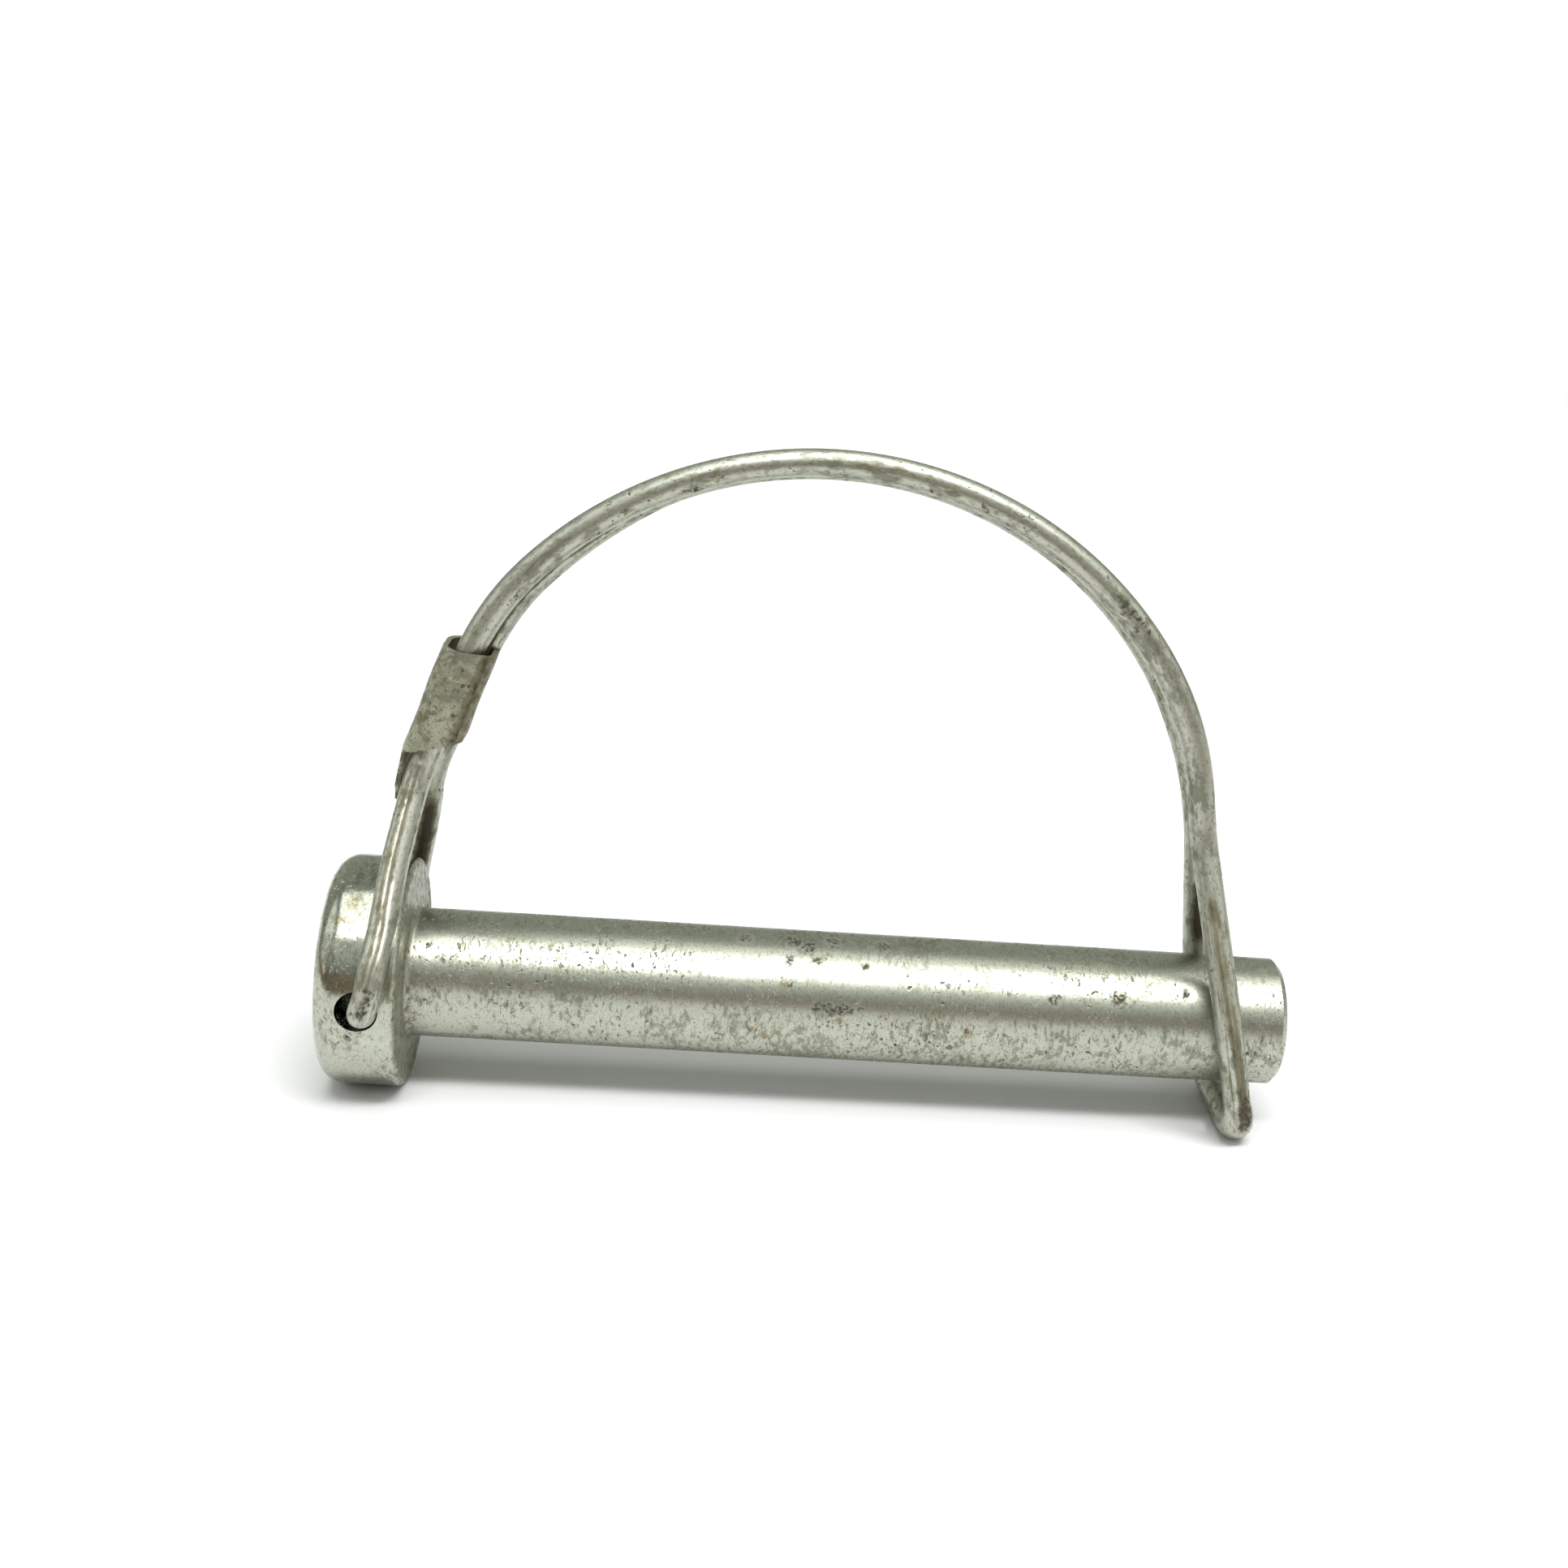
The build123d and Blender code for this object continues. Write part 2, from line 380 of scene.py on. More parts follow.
def latch_grime_and_shade(place, angle, inner):
    """Dirt on the flat of a latch leg, darker towards the bottom, and across its upper end, and painted
    black shade between the two legs.
    """
    # between paints black shade on each leg's side that faces the other leg
    between = bump(inner, 0, 0.6) * span(place.z, 4 * MM, 6 * MM, 8 * MM, 13 * MM)
    turned = latch_facet_turn(place, angle)
    on_leg = span(place.z, LATCH_BOTTOM_Z, LATCH_BOTTOM_Z + 2 * MM, FACET_TOP_Z, FACET_TOP_Z + 0.4 * MM)
    upper_end = bump(place.z, FACET_TOP_Z + 0.3 * MM, 0.25 * MM)
    low_down = 1 - smooth(place.z, -3 * MM, 6 * MM)
    pressed = max(
        1.0 * bump(turned, -0.2, 0.24),
        (0.6 + 0.25 * low_down) * bump(turned, 0.15, 0.4),
        0.7 * bump(turned, -0.75, 0.08),
    )
    return max(pressed * on_leg, 0.5 * upper_end, 1.5 * between)


def wire_grime_and_shade(place, angle):
    """How dark the wire is painted at a point of its skin, from dirt and from painted shade: 0 is clean, 1
    is dark and 1.5 is black.
    """
    away = angle + math.pi / 2
    inner = math.remainder(angle - math.pi / 2, 2 * math.pi)
    if place.x < HINGE_SIDE_X and place.z < GROOVE_TOP_Z:
        return hinge_grime_and_shade(place, away, inner)
    if place.x > LATCH_LOW.x and place.z < FACET_TOP_Z + 3 * MM:
        return latch_grime_and_shade(place, angle, inner)
    # Over the arch: a painted dark reflection band on the flank facing away from the other run, and painted
    # shade on the flank beside the other run.
    outer_band = 0.5 * bump(angle, math.radians(-80), 0.22)
    beside_other_run = 0.9 * bump(inner, 0.1, 0.3)
    return max(outer_band, beside_other_run) * smooth(place.z, 18 * MM, 26 * MM)


def wire_frames(route):
    """(centre, outward, sideways) for each point of the route, carried along without twist."""
    arch_top = round(len(route) * ARCH_TOP_SHARE)
    tangents = []
    for i in range(len(route)):
        before = route[max(i - 1, 0)]
        after = route[min(i + 1, len(route) - 1)]
        tangents.append((after - before).normalized())
    outward = [None] * len(route)
    first = tangents[arch_top].cross(Vector((0, -1, 0)))
    if first.z < 0:
        first.negate()
    outward[arch_top] = first.normalized()
    for way in (1, -1):
        i = arch_top
        while 0 <= i + way < len(route):
            turn = tangents[i].rotation_difference(tangents[i + way])
            carried = turn @ outward[i]
            carried -= tangents[i + way] * carried.dot(tangents[i + way])
            outward[i + way] = carried.normalized()
            i += way
    return [(c, o, t.cross(o)) for c, o, t in zip(route, outward, tangents)]


def face_outwards(mesh):
    shell = bmesh.new()
    shell.from_mesh(mesh)
    bmesh.ops.recalc_face_normals(shell, faces=shell.faces)
    shell.to_mesh(mesh)
    shell.free()


def add_mesh(name, points, faces, sharp_angle=35):
    """A smooth-shaded mesh object, with edges sharper than an angle in degrees kept sharp."""
    mesh = bpy.data.meshes.new(name)
    mesh.from_pydata([tuple(p) for p in points], [], faces)
    face_outwards(mesh)
    mesh.shade_smooth()
    mesh.set_sharp_from_angle(angle=math.radians(sharp_angle))
    made = bpy.data.objects.new(name, mesh)
    bpy.context.scene.collection.objects.link(made)
    return made


def add_vector_attribute(piece, name, values):
    """Stores a vector at each point, for a material to read."""
    layer = piece.data.attributes.new(name, "FLOAT_VECTOR", "POINT")
    layer.data.foreach_set("vector", [x for value in values for x in value])


def add_value_attribute(piece, name, values):
    layer = piece.data.attributes.new(name, "FLOAT", "POINT")
    layer.data.foreach_set("value", values)


def make_wire():
    """The whole bail as the one bent wire that it is, with rounded ends inside the head."""
    route = real_half(1) + real_half(-1)[-2::-1]
    frames = wire_frames(route)
    points = []
    straight = []
    grime_and_shade = []
    length = 0.0
    for i, (centre, outward, sideways) in enumerate(frames):
        if i:
            length += (centre - route[i - 1]).length
        from_end = min(i, len(route) - 1 - i) * WIRE_STEP
        end_round = 1 - 0.35 * (1 - smooth(from_end, 0, WIRE_END_ROUND)) ** 2
        for k in range(WIRE_SIDES):
            angle = 2 * math.pi * k / WIRE_SIDES - math.pi
            radius = section_radius(centre, angle) * end_round
            spoke = outward * math.cos(angle) + sideways * math.sin(angle)
            points.append(centre + spoke * radius)
            straight.append((WIRE_R * math.cos(angle), WIRE_R * math.sin(angle), length))
            grime_and_shade.append(wire_grime_and_shade(centre, angle))
    faces = []
    for i in range(len(route) - 1):
        for k in range(WIRE_SIDES):
            a = i * WIRE_SIDES + k
            b = i * WIRE_SIDES + (k + 1) % WIRE_SIDES
            faces.append((a, b, b + WIRE_SIDES, a + WIRE_SIDES))
    last = (len(route) - 1) * WIRE_SIDES
    faces.append(tuple(reversed(range(WIRE_SIDES))))
    faces.append(tuple(range(last, last + WIRE_SIDES)))
    wire = add_mesh("bail_wire", points, faces, sharp_angle=40)
    add_vector_attribute(wire, "straight", straight)
    add_value_attribute(wire, "grime_and_shade", grime_and_shade)
    return wire


# --- the pin --------------------------------------------------------------------------------------------
def pin_outline():
    """(x, radius) points of the pin's outline, from the middle of the head's face to that of the tip."""
    corners = [
        (-HEAD_THICK, 0),
        (-HEAD_THICK, HEAD_R),
        (0, HEAD_R),
        (0, SHANK_R),
        (GRIP_LENGTH, SHANK_R),
    ]
    rounds = [HEAD_OUTER_ROUND, HEAD_INNER_ROUND, NECK_FILLET]
    outline = rounded_route([Vector((x, 0, r)) for x, r in corners], rounds, 0.3 * MM)
    tip_r = SHANK_R - TIP_RELIEF
    tip = [(PIN_LENGTH - TIP_CHAMFER, tip_r), (PIN_LENGTH, tip_r - TIP_CHAMFER), (PIN_LENGTH, 0)]
    for x, r in tip:
        add_run(outline, Vector((x, 0, r)), 0.35 * MM)
    return [(p.x, p.z) for p in outline]


def revolved(name, outline, along_y=False):
    """A closed surface turned about the X axis, or about the Y axis if along_y is set."""
    outline = [p for p in outline if p[1] > 1e-7]
    points = []
    for x, r in outline:
        for k in range(AROUND):
            a = 2 * math.pi * k / AROUND
            ring = (x, r * math.cos(a), r * math.sin(a))
            points.append((ring[1], ring[0], ring[2]) if along_y else ring)
    faces = []
    for i in range(len(outline) - 1):
        for k in range(AROUND):
            a = i * AROUND + k
            b = i * AROUND + (k + 1) % AROUND
            faces.append((a, b, b + AROUND, a + AROUND))
    faces.append(tuple(range(AROUND)))
    faces.append(tuple(range((len(outline) - 1) * AROUND, len(outline) * AROUND)))
    return add_mesh(name, points, faces)


def make_pin():
    """Head and shank in one piece, with the cross hole drilled through the head."""
    pin = revolved("lock_pin", pin_outline())
    reach = HEAD_R + 2 * MM
    mouth = math.sqrt(HEAD_R**2 - HOLE_R**2)
    profile = [
        (-reach, HOLE_R + 3 * HOLE_FLARE),
        (-HEAD_R, HOLE_R + HOLE_FLARE),
        (-mouth + 2 * HOLE_FLARE, HOLE_R),
        (mouth - 2 * HOLE_FLARE, HOLE_R),
        (HEAD_R, HOLE_R + HOLE_FLARE),
        (reach, HOLE_R + 3 * HOLE_FLARE),
    ]
    drill = revolved("drill", profile, along_y=True)
    drill.location.x = HINGE_X + HOLE_SHIFT
    cut = pin.modifiers.new("cross_hole", "BOOLEAN")
    cut.operation = "DIFFERENCE"
    cut.solver = "EXACT"
    cut.object = drill
    bpy.context.view_layer.update()
    drilled = bpy.data.meshes.new_from_object(pin.evaluated_get(bpy.context.evaluated_depsgraph_get()))
    pin.modifiers.clear()
    pin.data = drilled
    pin.data.set_sharp_from_angle(angle=math.radians(30))
    bpy.data.objects.remove(drill)
    return pin


# --- the ferrule ----------------------------------------------------------------------------------------
def ferrule_outline():
    """Middle line of the rolled sheet's section, from the seam round to the seam.

    x points towards the inside of the arch and y to the rear, as seen down the sleeve.
    """
    wide = (FERRULE_WIDE - SHEET) / 2
    deep = (FERRULE_DEEP - SHEET) / 2
    corners = [
        Vector((0.86 * wide, -deep, 0)),
        Vector((-0.1 * wide, -deep - FERRULE_CROWN, 0)),
        Vector((-wide, -deep + 0.1 * MM, 0)),
        Vector((-wide, deep, 0)),
        Vector((wide, deep, 0)),
        Vector((wide, -deep + FERRULE_LAP, 0)),
        Vector((0.5 * wide, -deep + FERRULE_LAP, 0)),
    ]
    radii = [9 * MM, FERRULE_CORNER, FERRULE_CORNER, FERRULE_CORNER, 0.5 * MM]
    return evenly(rounded_route(corners, radii, 0.15 * MM), FERRULE_STEP)


def ferrule_ends(share, point):
    """(bottom, top) of the sheet along the sleeve, at this share of the way round its section."""
    wide = FERRULE_WIDE / 2
    outer = smooth(-point.x, wide - 0.8 * MM, wide - 0.4 * MM)
    tongue = outer * smooth(point.y, -1.3 * MM, -0.9 * MM)
    front = 1 - smooth(point.y, -1.5 * MM, 0)
    dip = front * bump(point.x, 0.3 * MM, 1.1 * MM)
    bottom = FERRULE_BOTTOM + FERRULE_BOTTOM_SLOPE * point.x - FERRULE_TONGUE * tongue
    bottom += 0.07 * MM * math.sin(share * 19) - 0.15 * MM * dip
    top = FERRULE_TOP + FERRULE_TOP_SLOPE * point.x
    top += 0.06 * MM * math.sin(share * 23 + 1) - 0.08 * MM * dip
    return bottom, top


def make_ferrule():
    """Sheet-metal sleeve rolled loosely round both runs, with an open seam and one longer tongue."""
    outline = ferrule_outline()
    count = len(outline)
    along = heading(math.pi / 2 - FERRULE_LEAN)
    across = Vector((along.z, 0, -along.x))
    rear = Vector((0, 1, 0))
    base = KNEE + across * FERRULE_SHIFT
    points = []
    grime_and_shade = []
    for layer in (0.5, -0.5):
        for row in range(FERRULE_ROWS + 1):
            for i, point in enumerate(outline):
                before = outline[max(i - 1, 0)]
                after = outline[min(i + 1, count - 1)]
                tangent = (after - before).normalized()
                normal = Vector((-tangent.y, tangent.x, 0))
                if normal.dot(point) < 0:
                    normal.negate()
                share = i / (count - 1)
                bottom, top = ferrule_ends(share, point)
                height = bottom + (top - bottom) * row / FERRULE_ROWS
                dent = FERRULE_DENT * math.sin(height / MM * 1.1 + share * 9) * math.sin(share * 14)
                curl = 0.12 * max(0.0, 2 * MM - height)
                curl += 0.25 * MM * (1 - smooth(height, -2 * MM, -1.2 * MM))
                flat = point + normal * (SHEET * layer + dent)
                points.append(base + across * (flat.x + curl) + rear * flat.y + along * height)
                # Each point's darkening paints a highlight streak down the middle of the front sheet (lit),
                # and painted shade along the seam edges (edge), towards the inside of the arch (shaded) and
                # over the sheet's inner face (inside), on top of an even dirt level.
                lit = bump(point.x, 0.25 * MM + 0.1 * MM * math.sin(height / MM), 0.45 * MM)
                edge = bump(min(i, count - 1 - i) * FERRULE_STEP, 0, 0.35 * MM)
                shaded = 0.2 * smooth(point.x, 0.5 * MM, 1.3 * MM)
                inside = 0.3 if layer < 0 else 0
                grime_and_shade.append(0.42 - 0.42 * lit + 0.4 * edge + shaded + inside)
    layer_size = (FERRULE_ROWS + 1) * count

    def corner(row, i, layer):
        return layer * layer_size + row * count + i

    faces = []
    for row in range(FERRULE_ROWS):
        for i in range(count - 1):
            for layer in (0, 1):
                faces.append(
                    (corner(row, i, layer), corner(row, i + 1, layer),
                     corner(row + 1, i + 1, layer), corner(row + 1, i, layer))
                )
        for i in (0, count - 1):
            faces.append(
                (corner(row, i, 0), corner(row + 1, i, 0), corner(row + 1, i, 1), corner(row, i, 1))
            )
    for i in range(count - 1):
        for row in (0, FERRULE_ROWS):
            faces.append(
                (corner(row, i, 0), corner(row, i, 1), corner(row, i + 1, 1), corner(row, i + 1, 0))
            )
    ferrule = add_mesh("ferrule_sleeve", points, faces, sharp_angle=50)
    add_value_attribute(ferrule, "grime_and_shade", grime_and_shade)
    soften = ferrule.modifiers.new("soft_edges", "BEVEL")
    soften.width = 0.07 * MM
    soften.segments = 2
    soften.limit_method = "ANGLE"
    soften.angle_limit = math.radians(50)
    return ferrule


# --- materials ------------------------------------------------------------------------------------------
class Graph:
    """One material's nodes, with short calls to add and link them."""

    def __init__(self, name):
        self.material = bpy.data.materials.new(name)
        self.material.use_nodes = True
        self.tree = self.material.node_tree
        self.shader = self.tree.nodes["Principled BSDF"]

    def node(self, kind, **settings):
        made = self.tree.nodes.new("ShaderNode" + kind)
        for name, value in settings.items():
            setattr(made, name, value)
        return made

    def feed(self, socket, value):
        """Links value to the socket if it is another node's output, and sets it if it is a constant."""
        if isinstance(value, bpy.types.NodeSocket):
            self.tree.links.new(value, socket)
        else:
            socket.default_value = value

    def math(self, operation, a, b=0.0):
        made = self.node("Math", operation=operation)
        self.feed(made.inputs[0], a)
        self.feed(made.inputs[1], b)
        return made.outputs[0]

    def step(self, value, low, high):
        """0 to 1 smoothly as value goes from low to high. low may be above high."""
        made = self.node("MapRange", interpolation_type="SMOOTHSTEP")
        self.feed(made.inputs["Value"], value)
        flip = low > high
        self.feed(made.inputs["From Min"], min(low, high))
        self.feed(made.inputs["From Max"], max(low, high))
        self.feed(made.inputs["To Min"], 1.0 if flip else 0.0)
        self.feed(made.inputs["To Max"], 0.0 if flip else 1.0)
        return made.outputs["Result"]

    def mix(self, share, a, b):
        """Colour a at 0 and colour b at 1."""
        made = self.node("Mix", data_type="RGBA")
        self.feed(made.inputs[0], share)
        self.feed(made.inputs[6], a)
        self.feed(made.inputs[7], b)
        return made.outputs[2]

    def stretch(self, vector, scale):
        made = self.node("VectorMath", operation="MULTIPLY")
        self.feed(made.inputs[0], vector)
        self.feed(made.inputs[1], scale)
        return made.outputs[0]

    def noise(self, vector, size, detail=3.0, roughness=0.55, distortion=0.0):
        """Cloudy values round 0.5, with features of this size in metres."""
        made = self.node("TexNoise")
        self.feed(made.inputs["Vector"], vector)
        self.feed(made.inputs["Scale"], 1 / size)
        self.feed(made.inputs["Detail"], detail)
        self.feed(made.inputs["Roughness"], roughness)
        self.feed(made.inputs["Distortion"], distortion)
        return made.outputs["Fac"]

    def pits(self, vector, size, share, radius):
        """1 inside small round pits, one in each cell of this size that chance picks, and 0 elsewhere."""
        cells = self.node("TexVoronoi")
        self.feed(cells.inputs["Vector"], vector)
        self.feed(cells.inputs["Scale"], 1 / size)
        chance = self.node("SeparateColor")
        self.feed(chance.inputs[0], cells.outputs["Color"])
        chosen = self.step(chance.outputs[0], share, share - 0.05)
        reach = self.math("MULTIPLY", chance.outputs[1], radius)
        near = self.math("SUBTRACT", reach, cells.outputs["Distance"])
        return self.math("MULTIPLY", chosen, self.step(near, 0.0, radius * 0.4))

    def warp(self, vector, size, amount):
        """The same places, pushed about by a cloud, so that round marks become ragged."""
        cloud = self.node("TexNoise")
        self.feed(cloud.inputs["Vector"], vector)
        self.feed(cloud.inputs["Scale"], 1 / size)
        self.feed(cloud.inputs["Detail"], 2.0)
        centred = self.node("VectorMath", operation="SUBTRACT")
        self.feed(centred.inputs[0], cloud.outputs["Color"])
        self.feed(centred.inputs[1], (0.5, 0.5, 0.5))
        moved = self.node("VectorMath", operation="MULTIPLY_ADD")
        self.feed(moved.inputs[0], centred.outputs[0])
        self.feed(moved.inputs[1], (amount, amount, amount))
        self.feed(moved.inputs[2], vector)
        return moved.outputs[0]

    def patch(self, vector, centre, radius):
        """1 at a place, fading to 0 at a radius from it."""
        away = self.node("VectorMath", operation="DISTANCE")
        self.feed(away.inputs[0], vector)
        self.feed(away.inputs[1], centre)
        return self.step(away.outputs["Value"], radius, radius * 0.35)

    def attribute(self, name):
        return self.node("Attribute", attribute_name=name).outputs["Fac"]

    def total(self, values):
        """The largest of several masks."""
        result = values[0]
        for value in values[1:]:
            result = self.math("MAXIMUM", result, value)
        return result

    def bumps(self, layers):
        """Chains (height, strength, distance) layers of relief into the shader's normal."""
        normal = None
        for height, strength, distance in layers:
            made = self.node("Bump")
            self.feed(made.inputs["Height"], height)
            self.feed(made.inputs["Strength"], strength)
            self.feed(made.inputs["Distance"], distance)
            if normal:
                self.feed(made.inputs["Normal"], normal)
            normal = made.outputs["Normal"]
        self.feed(self.shader.inputs["Normal"], normal)


BRIGHT_ZINC = (0.45, 0.465, 0.39, 1)
WIRE_ZINC = (0.46, 0.47, 0.4, 1)
SHEET_ZINC = (0.46, 0.475, 0.37, 1)
DULL_ZINC = (0.2, 0.21, 0.155, 1)
PIT_AND_SHADE_BLACK = (0.045, 0.038, 0.022, 1)
DIRT_AND_SHADE_BROWN = (0.12, 0.105, 0.055, 1)
TAN_STAIN = (0.23, 0.185, 0.095, 1)
RUST = (0.075, 0.04, 0.018, 1)


def zinc(name, places, grain, lines, bright, dull, dirt, rough, texture,
         polish=None, grime_and_shade_at=None, stains=(), rust=(), soot=()):
    """Worn zinc plate over steel.

    places(graph) gives the coordinates, in metres.
    grain stretches the fine mottling, and lines the dirty scratches that run along the piece.
    bright is the colour of sound plate, rough its roughness and texture the strength of its fine relief.
    dull is how much of it has turned grey and dirt how much is pitted and grimy, both 0 to 1.
    polish(graph, where) is 1 where the surface is smoother.
    The second function, after polish, is above 0 where more dirt and painted shade go on, and above about
    1.2 it paints black shade.
    stains, rust and soot are (centre, radius) marks.
    """
    g = Graph(name)
    where = places(g)
    ragged = g.warp(g.warp(where, 1.6 * MM, 1.1 * MM), 0.45 * MM, 0.35 * MM)
    grained = g.stretch(where, grain)
    cloud = g.noise(where, 4.5 * MM, detail=4)
    mottle = g.noise(grained, 0.7 * MM, detail=5, roughness=0.68)
    speck = g.noise(grained, 0.2 * MM, detail=2)
    region = g.noise(where, 6 * MM, detail=3)

    worn = g.math("ADD", g.math("MULTIPLY", mottle, 0.65), g.math("MULTIPLY", cloud, 0.35))
    dullness = g.step(worn, 0.6 - 0.22 * dull, 0.7 - 0.2 * dull)
    colour = g.mix(g.math("MULTIPLY", dullness, 0.8), bright, DULL_ZINC)
    colour = g.mix(g.math("MULTIPLY", g.step(speck, 0.5, 0.72), 0.7), colour, DULL_ZINC)

    dense = g.step(region, 0.6 - 0.2 * dirt, 0.7 - 0.2 * dirt)
    dense = g.math("ADD", g.math("MULTIPLY", dense, 0.75), 0.25)
    blotch = g.noise(g.stretch(ragged, grain), 0.5 * MM, detail=4, roughness=0.7)
    blotch = g.math("ADD", blotch, g.math("MULTIPLY", dense, 0.1))
    blotch = g.step(blotch, 0.73 - 0.08 * dirt, 0.78 - 0.08 * dirt)
    film = g.step(g.noise(ragged, 2.2 * MM, detail=4), 0.66 - 0.12 * dirt, 0.8 - 0.12 * dirt)
    fine_pits = g.math("MULTIPLY", g.pits(ragged, 0.62 * MM, 0.3 + 0.45 * dirt, 0.32), dense)
    pitted = g.total([fine_pits, g.pits(ragged, 1.9 * MM, 0.25 + 0.3 * dirt, 0.1)])
    scratch = g.noise(g.stretch(ragged, lines), 0.3 * MM, detail=2)
    scratch = g.math("MULTIPLY", g.step(scratch, 0.68, 0.74), g.step(region, 0.45, 0.6))
    grime_and_shade = g.total([blotch, g.math("MULTIPLY", film, 0.45), g.math("MULTIPLY", scratch, 0.8)])
    # What the gathering function gives adds painted shade to the dirt, and on the ferrule a smaller amount
    # paints a highlight.
    if grime_and_shade_at:
        gathered = g.math("ADD", mottle, grime_and_shade_at(g, where))
        grime_and_shade = g.total([grime_and_shade, g.step(gathered, 0.75, 1.2)])
    breakup = g.step(g.noise(where, 0.22 * MM, detail=3), 0.42, 0.56)
    breakup = g.math("ADD", g.math("MULTIPLY", breakup, 0.6), 0.4)
    # Dirt and painted shade both darken towards the same brown.
    colour = g.mix(g.math("MULTIPLY", grime_and_shade, 0.85), colour, DIRT_AND_SHADE_BROWN)
    # Painted black shade where the gathered value is high, mostly between neighbouring legs.
    if grime_and_shade_at:
        colour = g.mix(g.math("MULTIPLY", g.step(gathered, 1.2, 1.7), 0.9), colour, PIT_AND_SHADE_BLACK)
    if stains:
        stain = g.math("MULTIPLY", g.total([g.patch(ragged, *mark) for mark in stains]), breakup)
        colour = g.mix(g.math("MULTIPLY", stain, 0.9), colour, TAN_STAIN)
    covered = [g.math("MULTIPLY", grime_and_shade, 0.7), pitted]
    for spots, tint in ((rust, RUST), (soot, PIT_AND_SHADE_BLACK)):
        if spots:
            spot = g.math("MULTIPLY", g.total([g.patch(ragged, *mark) for mark in spots]), breakup)
            colour = g.mix(spot, colour, tint)
            covered.append(spot)
    colour = g.mix(g.math("MULTIPLY", pitted, 0.9), colour, PIT_AND_SHADE_BLACK)
    g.feed(g.shader.inputs["Base Color"], colour)
    cover = g.total(covered)
    g.feed(g.shader.inputs["Metallic"], g.math("SUBTRACT", 1.0, g.math("MULTIPLY", cover, 0.75)))

    roughness = g.math("ADD", rough, g.math("MULTIPLY", dullness, 0.14))
    if polish:
        smoothed = g.math("MULTIPLY", polish(g, where), 0.55)
        roughness = g.math("MULTIPLY", roughness, g.math("SUBTRACT", 1.0, smoothed))
    roughness = g.math("ADD", roughness, g.math("MULTIPLY", cover, 0.3))
    g.feed(g.shader.inputs["Roughness"], roughness)
    relief = [
        (cloud, 0.35, 0.12 * MM),
        (mottle, 0.3 * texture, 0.025 * MM),
        (g.math("SUBTRACT", 1.0, g.total([pitted, blotch])), 0.6, 0.03 * MM),
    ]
    g.bumps(relief)
    return g.material


def carried_grime_and_shade(graph, where):
    """The dirt and painted shade worked out for each point when the mesh was made."""
    return graph.attribute("grime_and_shade")


def painted_neck_and_underside_shade(graph, where):
    """Painted shade on the face under the head, round the neck and along the underside of the shank."""
    parts = graph.node("SeparateXYZ")
    graph.feed(parts.inputs[0], where)
    before = graph.step(parts.outputs["X"], -0.4 * MM, -0.1 * MM)
    after = graph.step(parts.outputs["X"], 0.9 * MM, 0.3 * MM)
    at_neck = graph.math("MULTIPLY", before, after)
    below = graph.step(parts.outputs["Z"], -2.6 * MM, -4.2 * MM)
    on_shank = graph.math("MULTIPLY", before, below)
    return graph.math("MULTIPLY", graph.math("MAXIMUM", at_neck, on_shank), 0.5)


def head_polish(graph, where):
    """1 on the head, where the plate is smoother, and 0 on the shank."""
    parts = graph.node("SeparateXYZ")
    graph.feed(parts.inputs[0], where)
    return graph.step(parts.outputs["X"], -0.2 * MM, -0.6 * MM)


def marks(*places):
    """(centre, radius) marks in metres, from (x, y, z, radius) in millimetres."""
    return [((x * MM, y * MM, z * MM), radius * MM) for x, y, z, radius in places]


PIN_STAINS = marks(
    (-3.6, -4.9, 6.9, 0.8), (-4.4, -6.1, 5.9, 0.7), (-3.7, -6.4, 5.6, 0.6), (11.1, -3.6, 3.1, 0.4),
    (25.4, -4.5, -1.4, 0.45), (26.4, -4.4, -1.8, 0.5), (27.3, -4.5, -1.5, 0.4), (27.6, -4.1, 2.3, 0.6),
    (31.7, -4.75, 0, 0.45), (35.5, -3.4, 3.3, 0.45), (41.4, -4.7, -0.6, 0.6),
)
PIN_RUST = marks((-3.3, -8.2, -2.1, 0.4), (41.2, -4.7, -0.4, 0.4))
PIN_SOOT = marks(
    (24.6, -1.2, 4.6, 0.9), (28.2, -1.2, 4.6, 1.1), (29.4, -1.8, 4.4, 0.9), (31, -1.2, 4.6, 0.8),
    (35, -1.2, 4.6, 1.0), (28, -2.9, 3.7, 0.7), (29.8, -3, 3.7, 0.5), (33.5, -3.1, 3.6, 0.5),
    (28.2, -4.2, 2.2, 0.5), (29.9, -4.7, 0.9, 0.5), (30.7, -4.7, 0.8, 0.6), (31.7, -4.7, 0.9, 0.6),
    (32.6, -4.7, 0.9, 0.5), (33.3, -4.7, 1.0, 0.4), (30.3, -4.7, 1.0, 0.5), (31.2, -4.7, 0.6, 0.5),
    (32.1, -4.7, 1.1, 0.5),
    (47.5, -4.1, 2.4, 0.8), (52.3, -4, 2.6, 1.0), (57.2, -3.6, 3.1, 0.5),
)
